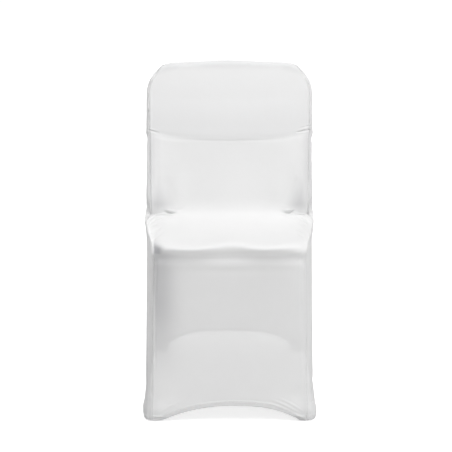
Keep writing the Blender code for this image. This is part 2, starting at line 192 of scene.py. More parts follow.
# Stations down the cover, in millimetres from the floor at the front feet. rows: mesh rows from the station
# above. cy cz: front strip's centre. fx fy fz: front seam. ax az: outermost line of the side, on the rail.
# rz: rear seam. bz: back panel's centre. full: how late a row leaves its centre. lobe: bulge either side.
COLUMNS = "rows cy cz fx fy fz ax az rz bz full lobe".split()
STATIONS = {
    "corner_end": (0, 258.8, 739.5, 194.7, 263.3, 751.0, 204.7, 747, 744, 740, 4.0, 0),
    "plate_mid": (2, 245.0, 705.0, 194.7, 248.5, 708.0, 205.0, 703, 702, 700, 3.0, 0),
    "plate_low": (3, 227.4, 652.0, 194.7, 234.7, 668.0, 205.4, 663, 662, 655, 2.2, 0),
    "plate_edge": (1, 225.4, 641.5, 194.2, 231.6, 659.0, 205.2, 654, 650, 643, 2.2, 0),
    "under_plate": (1, 224.3, 636.0, 193.4, 227.9, 651.5, 202.8, 646, 640, 634, 2.2, 0),
    "span_mid": (3, 210.4, 580.0, 193.0, 207.7, 590.0, 203.2, 585, 600, 580, 3.0, 2),
    "span_low": (3, 193.5, 520.0, 192.6, 186.4, 528.0, 203.6, 520, 560, 535, 3.0, 4),
    "fillet_top": (2, 184.5, 492.0, 191.5, 179.0, 500.0, 203.8, 497, 540, 510, 3.0, 5),
    "fillet_mid": (2, 174.0, 474.5, 191.0, 178.5, 480.0, 203.2, 482, 524, 492, 3.5, 5),
    "dimple": (1, 160.0, 464.5, 191.5, 180.0, 469.0, 205.4, 472, 512, 478, 4.0, 3),
    "pinch": (1, 145.0, 459.5, 196.0, 174.0, 464.0, 207.0, 465, 500, 466, 5.0, 1),
    "bump": (1, 128.0, 456.8, 203.5, 160.0, 457.5, 207.8, 454, 487, 454, 7.0, 0),
    "seat_mid": (3, 80.0, 453.6, 196.0, 100.0, 450.5, 206.0, 434, 455, 426, 8.0, 0),
    "seat_front": (3, 22.0, 452.6, 188.0, 46.0, 447.5, 203.4, 412, 415, 391, 8.0, -3),
    "lip_top": (1, -4.0, 451.3, 184.5, 21.0, 443.5, 203.0, 394, 390, 370, 8.0, -9),
    "lip_front": (1, -12.5, 446.5, 183.0, 8.0, 438.0, 203.0, 382, 376, 356, 8.0, -10),
    "lip_under": (1, -13.0, 438.5, 182.0, 1.5, 430.5, 203.0, 370, 363, 343, 8.0, -7),
    "apron_crease": (1, -9.0, 424.5, 181.0, 2.0, 417.0, 203.0, 358, 350, 330, 6.0, -3),
    "apron_top": (1, -12.0, 409.0, 181.5, 0.0, 402.0, 203.0, 344, 335, 315, 7.0, -1),
    "apron_mid": (4, -9.5, 300.0, 185.0, -1.0, 298.0, 202.8, 262, 250, 236, 6.0, 0),
    "apron_low": (4, -7.0, 160.0, 188.0, -1.0, 158.0, 202.8, 146, 140, 136, 6.0, 0),
    "ankle": (3, -6.0, 68.0, 189.5, -2.0, 64.0, 203.6, 62, 61, 62, 4.0, 0),
    "foot_wide": (2, -5.5, 32.0, 189.0, -9.5, 32.0, 210.5, 31, 31, 32, 4.0, 0),
    "foot_low": (1, -5.0, 15.0, 188.5, -9.5, 15.0, 210.4, 15, 15, 15, 4.0, 0),
    "hem": (1, -5.0, 3.5, 187.5, -8.0, 3.5, 208.2, 3.5, 3.5, 3.5, 4.0, 0),
}

# Mesh columns across half the front strip, half the back panel, and the spans of a side row
FRONT_HALF, BACK_HALF = 11, 7
SIDE_SPANS = (2, 2, 1, 6, 3)
CLOSER_TO_SEAM = 0.85

LEAN = np.arctan(RAIL_LEAN)
ALONG = np.array([0.0, sin(LEAN), cos(LEAN)])
AHEAD = np.array([0.0, -cos(LEAN), sin(LEAN)])
TOP_H = RAIL_TOP_Z / cos(LEAN)
CORNER_H = TOP_H - TOP_RISE - CORNER_R
CORNER_X = RAIL_X - CORNER_R


def rail_y(z):
    return RAIL_FOOT_Y + RAIL_LEAN * z


def bell(value, centre, reach):
    """1 at the centre, falling away on both sides of it."""
    return np.exp(-(((value - centre) / reach) ** 2))


def above(value, start, reach):
    """0 up to the start, rising evenly to 1 within the reach above it."""
    return np.clip((value - start) / reach, 0, 1)


def below(value, start, reach):
    """0 down to the start, rising evenly to 1 within the reach below it."""
    return np.clip((start - value) / reach, 0, 1)


def smooth(t):
    """The share t, with a soft start and end."""
    t = np.clip(t, 0, 1)
    return t * t * (3 - 2 * t)


def back_y(z):
    """The taut line of the back, from the rear of the top rail to the rear feet."""
    line = BACK_TOP[0] + BACK_SLOPE * (BACK_TOP[1] - z)
    return line + BACK_EASE * bell(z, SEAT_REAR_Z, BACK_EASE_REACH)


def slopes(x, y):
    """Slopes at the knots that never overshoot them."""
    step, rise = np.diff(x), np.diff(y)
    secant = rise / step
    m = np.zeros(len(x))
    m[0], m[-1] = secant[0], secant[-1]
    for k in range(1, len(x) - 1):
        a, b = secant[k - 1], secant[k]
        if a * b > 0:
            wa, wb = 2 * step[k] + step[k - 1], step[k] + 2 * step[k - 1]
            m[k] = (wa + wb) / (wa / a + wb / b)
    return m


def curve(x, y, at):
    """A smooth curve through (x, y) without overshoot, read at the places at."""
    x, y, at = np.asarray(x, float), np.asarray(y, float), np.asarray(at, float)
    m = slopes(x, y)
    k = np.clip(np.searchsorted(x, at, side="right") - 1, 0, len(x) - 2)
    h = x[k + 1] - x[k]
    t = (at - x[k]) / h
    start = (1 + 2 * t) * (1 - t) ** 2 * y[k] + t * (1 - t) ** 2 * h * m[k]
    return start + t * t * (3 - 2 * t) * y[k + 1] + t * t * (t - 1) * h * m[k + 1]


def top_rise(x):
    """How much higher the top rail is here than where its corners begin."""
    return TOP_RISE * (1 + cos(pi * min(abs(x) / CORNER_X, 1.0))) / 2


def rail_at(q):
    """Rail centre and outward direction at distance q along the rail from the top's middle."""
    angle = min(max((q - CORNER_X) / CORNER_R, 0.0), pi / 2)
    x = min(q, CORNER_X) + CORNER_R * sin(angle)
    h = CORNER_H + CORNER_R * cos(angle) + top_rise(x)
    h -= max(q - CORNER_X - CORNER_R * pi / 2, 0.0)
    centre = np.array([x, RAIL_FOOT_Y, 0.0]) + h * ALONG
    return centre, np.array([sin(angle), 0.0, 0.0]) + cos(angle) * ALONG


def roll(q, turn):
    """A point of the cloth on the rail, turned by so many degrees from outward towards the front."""
    centre, outward = rail_at(q)
    a = radians(turn)
    return centre + RAIL_R * (cos(a) * outward + sin(a) * AHEAD)


def corner_q(angle):
    return CORNER_X + CORNER_R * radians(angle)


def share(angle):
    return smooth((angle - TIP_ANGLE) / (FULL_ANGLE - TIP_ANGLE))


def corner_side(angle, end):
    """Side row at this angle of the top corner, growing from a tip into the row end."""
    g, q = share(angle), corner_q(angle)
    turns = TIP_TURN + g * (np.array(SIDE_TURNS) - TIP_TURN)
    row = np.array([roll(q, turn) for turn in turns])
    a = radians(angle)
    rear_r = CORNER_R + 0.002
    rear_z = BACK_TOP[1] - TOP_RISE - rear_r * (1 - cos(a))
    rear = np.array([CORNER_X + rear_r * sin(a), back_y(rear_z), rear_z])
    row[5] = row[5] + g * (rear - row[5])
    lift = row[5] - end[5]
    row[4] = row[4] + g * g * (end[4] + lift - row[4])
    return row


def turned(degrees):
    return np.array([cos(radians(degrees)), sin(radians(degrees)), 0.0])


def rear_x(z):
    """The rear seam's line seen from behind, drawing in towards the floor but for the bulge of the foot."""
    return 0.1915 - 0.008 * (0.768 - z) / 0.7 + 0.0065 * bell(z, 0.028, 0.022)


# The side is rolled round the rail for so far on either side of its outermost line, and wraps the rail all
# the way above the seat. The rear corner stands off the rear seam.
RAIL_WRAP = 0.016
WRAPPED_Z, WRAPPED_REACH = 0.47, 0.05
REAR_CORNER = (0.0085, -0.0125)


def side_knots(s, side):
    """A side row's six points: front seam, before the rail, on it, behind it, rear corner and rear seam."""
    fx, fy, fz, ax, az, rz = (s[c] / 1000 for c in ("fx", "fy", "fz", "ax", "az", "rz"))
    foot = smooth((FOOT_TOP[side] - az) / FOOT_GROWS)
    ax = ax + foot * (FOOT_BULGE[side] - BULGE_X) - WAIST[side] * bell(az, WAIST_Z, WAIST_REACH)
    heel_x, heel_y, heel_slope = FEET["front"]
    heel_y += heel_slope * az
    front = np.array([fx, fy, fz])
    apex = np.array([ax, rail_y(az) + foot * (heel_y - rail_y(az)), az])
    seam = np.array([rear_x(rz), back_y(rz), rz])
    corner = seam + np.array([*REAR_CORNER, 0.08 * (az - rz)])
    rear_x0, rear_y0, rear_slope = FEET["rear"]
    rear_y0 += rear_slope * rz
    heel = REAR_BULGE * (ax - heel_x)
    rear_foot = np.array([rear_x0, rear_y0, rz])
    seam = seam + foot * (rear_foot + heel * turned(REAR_TURNS[1]) - seam)
    corner = corner + foot * (rear_foot + heel * turned(REAR_TURNS[0]) - corner)
    reach = front - apex
    far = np.linalg.norm(reach)
    near = apex + reach * min(RAIL_WRAP / far, 0.5)
    on_rail = roll(CORNER_X + CORNER_R * pi / 2 + CORNER_H - az / cos(LEAN), 45.0)
    wrapped = smooth((fz - WRAPPED_Z) / WRAPPED_REACH)
    near = near + wrapped * (on_rail - near)
    bulb = (ax - heel_x) * cos(pi / 4)
    near = near + foot * (np.array([heel_x + bulb, heel_y - bulb, (az + fz) / 2]) - near)
    back = corner - apex
    behind = apex + back * RAIL_WRAP / np.linalg.norm(back)
    behind[0] += 0.0015 * (1 - foot)
    return np.array([front, near, apex, behind, corner, seam])


def side_row(knots, spans):
    """A smooth row through the knots, with so many mesh columns in each span."""
    steps = np.linalg.norm(np.diff(knots, axis=0), axis=1)
    x = np.concatenate([[0.0], np.cumsum(np.maximum(steps, 1e-6))])
    at = [x[0]]
    for k, count in enumerate(spans):
        at.extend(x[k] + (x[k + 1] - x[k]) * (i + 1) / count for i in range(count))
    return np.stack([curve(x, knots[:, c], at) for c in range(3)], axis=1)


def station_rows():
    """The table's stations and the rows between them, each as a dict."""
    names = list(STATIONS)
    table = np.array([STATIONS[n] for n in names], float)
    at = [0.0]
    for k in range(1, len(names)):
        count = int(table[k, 0])
        at.extend(k - 1 + (i + 1) / count for i in range(count))
    knots = np.arange(len(names))
    values = {c: curve(knots, table[:, i], at) for i, c in enumerate(COLUMNS) if i}
    return [{c: values[c][r] for c in values} for r in range(len(at))]


def front_half(s, count):
    """Half a row of the front strip, from its centre to its seam."""
    u = np.linspace(0, 1, count + 1) ** CLOSER_TO_SEAM
    bend = u ** s["full"]
    x = u * s["fx"]
    y = s["cy"] + (s["fy"] - s["cy"]) * bend + s["lobe"] * np.sin(pi * u) ** 2
    z = s["cz"] + (s["fz"] - s["cz"]) * bend
    return np.stack([x, y, z], axis=1) / 1000


def back_half(seam, centre_y, centre_z, count):
    u = np.linspace(0, 1, count + 1)
    z = centre_z + (seam[2] - centre_z) * u**4
    y = centre_y + (seam[1] - centre_y) * u**4
    return np.stack([u * seam[0], y, z], axis=1)


def outline_depth(x, h):
    """How far the cloth stands ahead of the rail's plane, rounding off at the outline."""
    outer = CORNER_R + RAIL_R
    dx, dh = max(x - CORNER_X, 0.0), max(h - CORNER_H - top_rise(x), 0.0)
    inside = outer - np.hypot(dx, dh)
    if inside >= RAIL_R:
        return RAIL_R
    return RAIL_R * np.sqrt(max(1 - (1 - inside / RAIL_R) ** 2, 0.0))


def in_plane(point):
    moved = point - np.array([0.0, RAIL_FOOT_Y, 0.0])
    return np.array([point[0], moved @ ALONG])


def top_front_rows(first, count):
    """Half rows from the top seam down to the row first, over the roll and round the corner."""
    u = np.linspace(0, 1, count + 1) ** CLOSER_TO_SEAM
    rows = []
    for turn, angle in zip(ROLL_CENTRE_TURNS, ROLL_EDGE_ANGLES):
        edge = TIP_TURN + share(angle) * (FRONT_TURN - TIP_TURN)
        q = corner_q(angle)
        rows.append(np.array([roll(q * v, turn + (edge - turn) * v**3) for v in u]))
    upper = np.array([in_plane(p) for p in rows[-1]])
    lower = np.array([in_plane(p) for p in first])
    for k, angle in enumerate(CORNER_ANGLES[:-1]):
        t = (k + 1) / len(CORNER_ANGLES)
        flat = upper + (lower - upper) * t
        edge = TIP_TURN + share(angle) * (FRONT_TURN - TIP_TURN)
        shift = in_plane(roll(corner_q(angle), edge)) - flat[-1]
        flat = flat + shift * u[:, None] ** 4
        base = np.array([0.0, RAIL_FOOT_Y, 0.0])
        deep = [base + [x, 0, 0] + h * ALONG + outline_depth(x, h) * AHEAD for x, h in flat]
        rows.append(np.array(deep))
    return rows


def arch(z, height, shape):
    """Lift of a row towards the hem's arch, fading out above it."""
    fade = np.clip(1 - z / ARCH_FADE_Z, 0, 1) ** 1.5
    full = (1 - HEM_Z / ARCH_FADE_Z) ** 1.5
    return height * shape * fade / full


def half_sleeve(side):
    """Rows of front, side and back points for one side of the cover. Their x is positive for both."""
    stations = station_rows()
    ends = [side_knots(s, side) for s in stations]
    angles = ROLL_EDGE_ANGLES + CORNER_ANGLES[:-1]
    knots = [corner_side(a, ends[0]) for a in angles] + ends
    front = [front_half(s, FRONT_HALF) for s in stations]
    front = top_front_rows(front[0], FRONT_HALF) + front
    back = []
    for k, row in enumerate(knots):
        if k < len(BACK_TOP_TURNS):
            middle = roll(0.0, BACK_TOP_TURNS[k])[1:]
        elif k < len(angles):
            z = BACK_PANEL_Z - (BACK_PANEL_Z - stations[0]["bz"] / 1000) * (k - 2) / (len(angles) - 2)
            middle = (back_y(min(z, BACK_TOP[1])), z)
        else:
            z = stations[k - len(angles)]["bz"] / 1000
            middle = (back_y(z), z)
        back.append(back_half(row[5], middle[0], middle[1], BACK_HALF))
    sides = [side_row(row, SIDE_SPANS) for row in knots]
    front, sides, back = np.array(front), np.array(sides), np.array(back)
    u = front[:, :, 0] / front[:, -1:, 0]
    shape = 1 - np.clip(u / FRONT_ARCH_REACH[side], 0, 1) ** FRONT_ARCH_POWER[side]
    front[:, :, 2] += arch(front[:, :, 2], FRONT_ARCH, shape)
    u = back[:, :, 0] / back[:, -1:, 0]
    shape = 1 - np.clip(u / REAR_ARCH_REACH, 0, 1) ** REAR_ARCH_POWER
    back[:, :, 2] += arch(back[:, :, 2], REAR_ARCH, shape)
    v = np.linspace(0, 1, sides.shape[1])
    between_feet = above(sides[:, :, 1], SIDE_ARCH_Y[0], SIDE_ARCH_Y[1] - SIDE_ARCH_Y[0])
    sides[:, :, 2] += arch(sides[:, :, 2], SIDE_ARCH, np.sin(pi * between_feet) ** 0.8)
    sides[:, :, 0] -= SIDE_DRAW * np.sin(pi * v) ** 2 * np.sin(pi * between_feet) ** 2
    return front, sides, back


def mirrored(points):
    return points * np.array([-1.0, 1.0, 1.0])


def through(knots, values, at):
    """A line without kinks through the values at the knots, read at other places along the first axis."""
    n = len(knots)
    step = np.diff(knots)
    wide = (-1,) + (1,) * (values.ndim - 1)
    matrix, right = np.eye(n), np.zeros(values.shape)
    for k in range(1, n - 1):
        matrix[k, k - 1 : k + 2] = step[k - 1], 2 * (step[k - 1] + step[k]), step[k]
        rise = (values[k + 1] - values[k]) / step[k] - (values[k] - values[k - 1]) / step[k - 1]
        right[k] = 6 * rise
    bend = np.linalg.solve(matrix, right.reshape(n, -1)).reshape(values.shape)
    k = np.clip(np.searchsorted(knots, at, side="right") - 1, 0, n - 2)
    h = step[k].reshape(wide)
    a = ((knots[k + 1] - at) / step[k]).reshape(wide)
    b = 1 - a
    line = a * values[k] + b * values[k + 1]
    return line + ((a**3 - a) * bend[k] + (b**3 - b) * bend[k + 1]) * h**2 / 6


def travelled(points, axis):
    """Distance of each point of a grid from where its column (axis 0) or row (axis 1) starts."""
    steps = np.linalg.norm(np.diff(points, axis=axis), axis=2)
    return np.concatenate([np.zeros_like(steps.take([0], axis=axis)), np.cumsum(steps, axis=axis)], axis=axis)


def run_of(grid, axis):
    """Usual distance along the grid at each of its rows or columns."""
    steps = np.linalg.norm(np.diff(grid, axis=axis), axis=2).mean(axis=1 - axis)
    return np.concatenate([[0.0], np.cumsum(steps)])


SPREAD_TICKS = 6000


def spread(length, usual, fine):
    """Places along a length, usually so far apart, and closer near each (place, reach, pitch)."""
    s = np.linspace(0, length, SPREAD_TICKS)
    pitch = np.full(len(s), usual)
    for place, reach, close in fine:
        near = np.clip(1.5 - np.abs(s - place) / reach, 0, 1)
        pitch = np.minimum(pitch, usual + (close - usual) * near)
    count = np.concatenate([[0.0], np.cumsum(1 / pitch[1:]) * (s[1] - s[0])])
    steps = int(round(count[-1]))
    return np.interp(np.linspace(0, count[-1], steps + 1), count, s)


def averaging(at, reach):
    """Weights that average each place on a line with its neighbours within the reach."""
    weight = np.exp(-(((at[None] - at[:, None]) / reach) ** 2) / 2) * np.gradient(at)[None]
    return weight / weight.sum(axis=1, keepdims=True)


right_front, right_side, right_back = half_sleeve(1)
left_front, left_side, left_back = (mirrored(g) for g in half_sleeve(-1))
coarse = {
    "front": np.concatenate([left_front[:, :0:-1], right_front], axis=1),
    "right": right_side,
    "back": np.concatenate([right_back[:, ::-1], left_back[:, 1:]], axis=1),
    "left": left_side[:, ::-1],
}
down = run_of(coarse["front"], 0)
ROW_PITCH, COLUMN_PITCH = 0.0050, {"front": 0.0048, "right": 0.0050, "back": 0.0070, "left": 0.0050}
CLOSE_ROWS = (
    # distance down the front strip from the top seam, reach and pitch, metres
    (0.195, 0.022, 0.0014),
    (0.395, 0.040, 0.0014),
    (0.575, 0.040, 0.0014),
    (down[-1] - 0.020, 0.025, 0.0014),
)
CLOSE_COLUMNS = ((0.0, 0.005, 0.0008), (0.0, 0.040, 0.0016))
rows_at = spread(down[-1], ROW_PITCH, CLOSE_ROWS)
taut, facing, placed = {}, {}, {}
for part, grid in coarse.items():
    rows = through(down, grid, rows_at)
    across = run_of(rows, 1)
    edges = CLOSE_COLUMNS + tuple((across[-1] - place, *how) for place, *how in CLOSE_COLUMNS)
    columns_at = spread(across[-1], COLUMN_PITCH[part], edges)
    taut[part] = np.swapaxes(through(across, np.swapaxes(rows, 0, 1), columns_at), 0, 1)
    placed[part] = columns_at

# The seat's front edge stands a little higher at the middle, and again on the right: height, place and reach.
# The crowns fade over the seat and, sooner, under the edge.
LIP_CROWNS = ((0.0070, 0.004, 0.050), (0.0035, 0.125, 0.040))
LIP_Y, LIP_Z = -0.004, 0.4513
CROWN_OVER_SEAT, CROWN_UNDER_EDGE = 0.045, 0.014
centre = taut["front"][:, np.argmin(np.abs(taut["front"][0, :, 0]))]
lip = rows_at[np.argmin(np.abs(centre[:, 1] - LIP_Y) + np.abs(centre[:, 2] - LIP_Z))]
over, under = np.minimum(rows_at - lip, 0) / CROWN_OVER_SEAT, np.maximum(rows_at - lip, 0) / CROWN_UNDER_EDGE
crown = sum(height * bell(taut["front"][..., 0], place, reach) for height, place, reach in LIP_CROWNS)
taut["front"][..., 2] += np.exp(-(over**2) - under**2)[:, None] * crown

# Below the seat nothing holds the front seams, so the stretched cloth rounds off there.
ROUNDED, ROUND_REACH = 0.0105, 0.042
for one, other in (("front", "right"), ("left", "front")):
    at = np.concatenate([placed[one] - placed[one][-1], placed[other][1:]])
    both = np.concatenate([taut[one], taut[other][:, 1:]], axis=1)
    reach = np.maximum(ROUNDED * np.clip(1.25 - np.abs(at) / ROUND_REACH, 0, 1), 1e-5)
    loose = below(both[..., 2:], 0.44, 0.03) * above(both[..., 2:], 0.015, 0.05)
    both += loose * (np.einsum("ij,rjc->ric", averaging(at, reach[:, None]), both) - both)
    seam = len(placed[one]) - 1
    taut[one], taut[other] = both[:, : seam + 1].copy(), both[:, seam:].copy()

# The side panels ease out their kinks round the top corners, between their seams.
EASED_DOWN, EASED_ACROSS, EASED_IN = 0.010, 0.007, 0.010
for part in ("right", "left"):
    sheet, eased = taut[part], taut[part]
    for axis, at, reach in ((0, rows_at, EASED_DOWN), (1, placed[part], EASED_ACROSS)):
        eased = np.moveaxis(np.tensordot(averaging(at, reach), eased, axes=(1, axis)), 0, axis)
    run = travelled(sheet, 1)
    inside = above(np.minimum(run, run[:, -1:] - run), 0, EASED_IN)[..., None]
    taut[part] = sheet + smooth(inside) * above(sheet[..., 2:], 0.66, 0.03) * (eased - sheet)

# The way that each point of the cloth faces, shared along the seams.
for part in coarse:
    lean = np.cross(np.gradient(taut[part], axis=0), np.gradient(taut[part], axis=1))
    if part in ("right", "left"):
        lean[0] = lean[1]
    facing[part] = lean / np.maximum(np.linalg.norm(lean, axis=2, keepdims=True), 1e-12)
for one, other in (("front", "right"), ("right", "back"), ("back", "left"), ("left", "front")):
    shared = facing[one][:, -1] + facing[other][:, 0]
    shared /= np.linalg.norm(shared, axis=1, keepdims=True)
    facing[one][:, -1] = facing[other][:, 0] = shared


# Creases pressed into the taut cloth: how deep (a ridge is negative), how wide, and the points it runs
# through, all in millimetres, from the floor at the front feet.
CREASES = (
    # the board's lower edge, and a short crease at either end of it
    (0.45, 2.0, ((-201, 237, 663), (-176, 229, 652), (-145, 228, 645), (-72, 227, 642), (-3, 226, 641),
                 (79, 227, 642), (135, 228, 645), (172, 230, 654), (200, 234, 665))),
    (1.8, 2.0, ((-207, 240, 666), (-191, 233, 664), (-174, 232, 660))),
    (2.0, 1.8, ((165, 232, 661), (184, 233, 665), (207, 240, 667))),
    (1.0, 1.6, ((172, 235, 671), (187, 237, 674), (207, 243, 676))),
    # the valleys between the rails and the open span
    (0.3, 5.0, ((-177, 229, 655), (-176, 208, 585), (-174, 189, 527), (-160, 182, 482))),
    (0.3, 5.0, ((177, 229, 655), (177, 208, 585), (174, 189, 527), (160, 182, 482))),
    (-0.25, 1.8, ((-190, 228, 655), (-188, 207, 585), (-190, 187, 528), (-191, 184, 475))),
    (-0.25, 1.8, ((191, 228, 655), (189, 206, 585), (190, 187, 528), (192, 183, 475))),
    # the cloth drawn back into the lower corners of the open span
    (4.0, 17.0, ((-160, 200, 560), (-152, 190, 520), (-146, 182, 482))),
    (4.0, 17.0, ((160, 200, 560), (150, 190, 520), (140, 182, 484))),
    # the pinches at the back of the seat
    (5.6, 2.9, ((-159, 181, 475), (-149, 179, 471), (-139, 178, 470), (-131, 178, 472))),
    (0.9, 3.0, ((-136, 179, 475), (-122, 181, 479), (-112, 184, 483))),
    (5.6, 2.9, ((130, 179, 475), (141, 179, 470), (150, 181, 472), (155, 182, 475))),
    # the sewn ridges that run from the pinches to the seat's rear corners
    (-2.2, 2.0, ((-206, 150, 457), (-193, 168, 461), (-179, 181, 464), (-160, 181, 466))),
    (-2.2, 2.0, ((160, 183, 467), (180, 185, 465), (192, 177, 463), (206, 152, 458))),
    (2.2, 2.2, ((-196, 136, 457), (-179, 158, 461), (-160, 164, 462))),
    (2.2, 2.2, ((158, 166, 462), (176, 160, 460), (197, 136, 457))),
    # small gathers along the seat's side seams
    (2.0, 2.4, ((160, 147, 459), (182, 134, 457))),
    (2.2, 2.6, ((158, 105, 455), (182, 88, 455))),
    (1.6, 2.0, ((168, 170, 462), (192, 145, 458))),
    (1.8, 2.2, ((174, 126, 456), (194, 100, 456))),
    (1.8, 2.6, ((164, 79, 454), (182, 50, 453))),
    (1.9, 2.3, ((-192, 120, 456), (-170, 139, 457))),
    (2.1, 2.6, ((-188, 80, 455), (-165, 114, 456))),
    (1.8, 2.6, ((-180, 42, 453), (-161, 82, 454))),
    # creases across the apron, under the seat's front edge
    (-0.7, 2.0, ((-60, -15, 426), (-27, -13, 426), (76, -18, 429), (172, -1, 437))),
    (-0.4, 2.2, ((-145, -12, 426), (-80, -16, 426), (-20, -13, 426))),
    (0.5, 2.4, ((-112, -14, 419), (-3, -11, 418), (125, -13, 420))),
    (0.7, 7.0, ((-115, -12, 392), (-3, -12, 391), (142, -11, 393))),
    # the hollow under the left corner of the seat, and the valley beside the left front leg
    (2.5, 11.0, ((-177, 8, 447), (-172, -1, 441), (-163, -8, 435))),
    (3.0, 22.0, ((-160, -5, 415), (-160, -6, 390), (-162, -7, 330), (-166, -7, 230))),
    (0.9, 3.0, ((168, 7, 446), (169, -7, 367), (172, -7, 265))),
    (-1.6, 3.0, ((-186, 20, 448), (-183, 0, 425), (-182, -3, 400), (-185, -3, 300))),
    # the hem drawn tight under the front feet
    (6.0, 2.6, ((158, -6, 13), (168, -7, 9), (179, -8, 5))),
    (-1.0, 2.4, ((156, -6, 21), (168, -7, 16), (184, -8, 13))),
    (3.5, 2.2, ((-186, -8, 10), (-172, -8, 8), (-156, -7, 9))),
    # gathers towards the right front foot
    (-0.7, 2.2, ((105, -6, 56), (135, -6, 43), (168, -8, 23))),
    (-0.6, 2.1, ((122, -6, 61), (151, -7, 46), (180, -9, 27))),
    (-0.5, 2.1, ((89, -5, 50), (113, -6, 42), (145, -6, 26))),
    (-0.5, 2.4, ((-120, -6, 52), (-148, -6, 38), (-172, -8, 20))),
    # long soft folds down the sides, from the pinch behind the seat to the feet
    (1.3, 7.0, ((206, 185, 462), (206, 235, 380), (203, 300, 255), (199, 345, 170))),
    (0.9, 6.0, ((206, 165, 448), (206, 196, 350), (205, 222, 250))),
    (0.9, 7.0, ((206, 130, 440), (205, 98, 340), (205, 66, 235))),
    (0.8, 6.0, ((192, 418, 40), (197, 375, 125), (200, 325, 225))),
    (0.8, 6.0, ((207, 38, 45), (205, 88, 112), (204, 150, 190))),
    (0.6, 5.0, ((204, 282, 715), (202, 268, 610), (201, 262, 520))),
    (1.1, 7.5, ((-206, 190, 460), (-206, 228, 370), (-203, 280, 270), (-200, 322, 200))),
    (1.1, 5.5, ((-206, 160, 446), (-206, 180, 345), (-205, 194, 262))),
    (0.7, 8.0, ((-206, 118, 436), (-205, 92, 345), (-205, 58, 215))),
    (0.9, 6.0, ((-192, 416, 38), (-196, 368, 118), (-199, 312, 200))),
    (0.7, 5.0, ((-207, 36, 50), (-205, 80, 120), (-204, 128, 180))),
    (0.5, 5.0, ((-204, 280, 705), (-202, 266, 615), (-201, 258, 540))),
    # across the back, at the board's lower edge and behind the seat, and up from the rear feet
    (0.4, 9.0, ((-160, 340, 662), (-60, 342, 646), (40, 342, 644), (165, 340, 660))),
    (0.5, 8.0, ((-170, 372, 452), (-30, 378, 436), (60, 378, 438), (172, 372, 455))),
    (0.6, 6.0, ((-178, 448, 40), (-160, 436, 110), (-128, 420, 200))),
    (0.5, 6.0, ((-168, 448, 30), (-128, 444, 70), (-80, 436, 105))),
    (0.6, 6.0, ((178, 448, 38), (158, 434, 118), (132, 418, 215))),
    (0.5, 6.0, ((168, 448, 30), (132, 444, 66), (92, 438, 96))),
)


FAR_AWAY = 9.0
OTHER_LAYER = 0.02


def beside(points, normals, path):
    """Distance within the cloth from each point to the path, and how far along the path that is, 0 to 1.

    What lies further off than OTHER_LAYER, straight through the cloth, is on the cover's other side.
    """
    path = np.asarray(path, float) / 1000
    legs = np.diff(path, axis=0)
    lengths = np.linalg.norm(legs, axis=1)
    gone = np.concatenate([[0.0], np.cumsum(lengths)])
    best, along = np.full(len(points), FAR_AWAY), np.zeros(len(points))
    for k, leg in enumerate(legs):
        t = np.clip((points - path[k]) @ leg / lengths[k] ** 2, 0, 1)
        away = points - path[k] - t[:, None] * leg
        off = np.sum(away * normals, axis=1)
        far = np.linalg.norm(away - off[:, None] * normals, axis=1) + np.maximum(np.abs(off) - OTHER_LAYER, 0)
        closer = far < best
        best[closer] = far[closer]
        along[closer] = (gone[k] + t[closer] * lengths[k]) / gone[-1]
    return best, along


# The cloth beside a crease is pushed up by this share of its depth, two widths away from its middle.
BESIDE_CREASE = 0.35


def pressed(points, normals, creases):
    """How far the creases push each point in. They fade out at both ends."""
    depth = np.zeros(len(points))
    for deep, wide, path in creases:
        far, along = beside(points, normals, path)
        w = wide / 1000
        near = far < 4 * w
        profile = bell(far[near], 0, w) - BESIDE_CREASE * bell(far[near], 2 * w, w)
        depth[near] += deep / 1000 * profile * np.sin(pi * np.clip(along[near], 0.02, 0.98)) ** 0.5
    return depth


def soft_step(value, edge, blur):
    """0 well below the edge and 1 well above it, changing within a few times the blur."""
    return 0.5 + 0.5 * np.tanh((value - edge) / (2 * blur))


# The hem's double layer stands a little proud. Each seam is a groove between two rolls, pulled flat at the top.
HEM_BAND, HEM_RISE, HEM_BLUR = 0.014, 0.0007, 0.0005
SEAM_ROLL, SEAM_ROLL_FROM, SEAM_ROLL_WIDE = 0.0005, 0.0035, 0.0018
SEAM_DIP, SEAM_DIP_WIDE = 0.0010, 0.0012
PULLED_FLAT, PULLED_FLAT_Z = 0.85, 0.70


def dressed(part):
    """The panel's surface with its hem, seams and creases, and each point's place on the cut, in metres."""
    points, normal = taut[part], facing[part]
    u, v = travelled(points, 1), travelled(points, 0)
    to_seam = np.minimum(u, u[:, -1:] - u)
    if part in ("front", "back"):
        to_seam = np.minimum(to_seam, v)
    lift = HEM_RISE * soft_step(HEM_BAND, v[-1] - v, HEM_BLUR)
    lift = lift + SEAM_ROLL * bell(to_seam, SEAM_ROLL_FROM, SEAM_ROLL_WIDE)
    dip = SEAM_DIP * (1 - PULLED_FLAT * above(points[..., 2], PULLED_FLAT_Z, 0.03))
    lift = lift - dip * bell(to_seam, 0, SEAM_DIP_WIDE)
    lift = lift - pressed(points.reshape(-1, 3), normal.reshape(-1, 3), CREASES).reshape(lift.shape)
    return points + lift[:, :, None] * normal, u - u[:, -1:] / 2, v


# Painted shade: how grey the knit is painted where shade falls on it, against the grey that it is mixed
# towards. In part it also stands for the knit drawn thinner over the frame.
SHADE_BOARD, SHADE_RAILS, SHADE_CORNERS, SHADE_LEGS = 0.5, 0.9, 1.5, 0.35
SHADE_BESIDE_LEG, SHADE_LIP_CORNER, SHADE_CREST = 1.9, 3.4, 0.75
SHADE_TUBE_LEFT, SHADE_TUBE_RIGHT = 1.3, 0.9
GREY_ELSEWHERE = 0.1


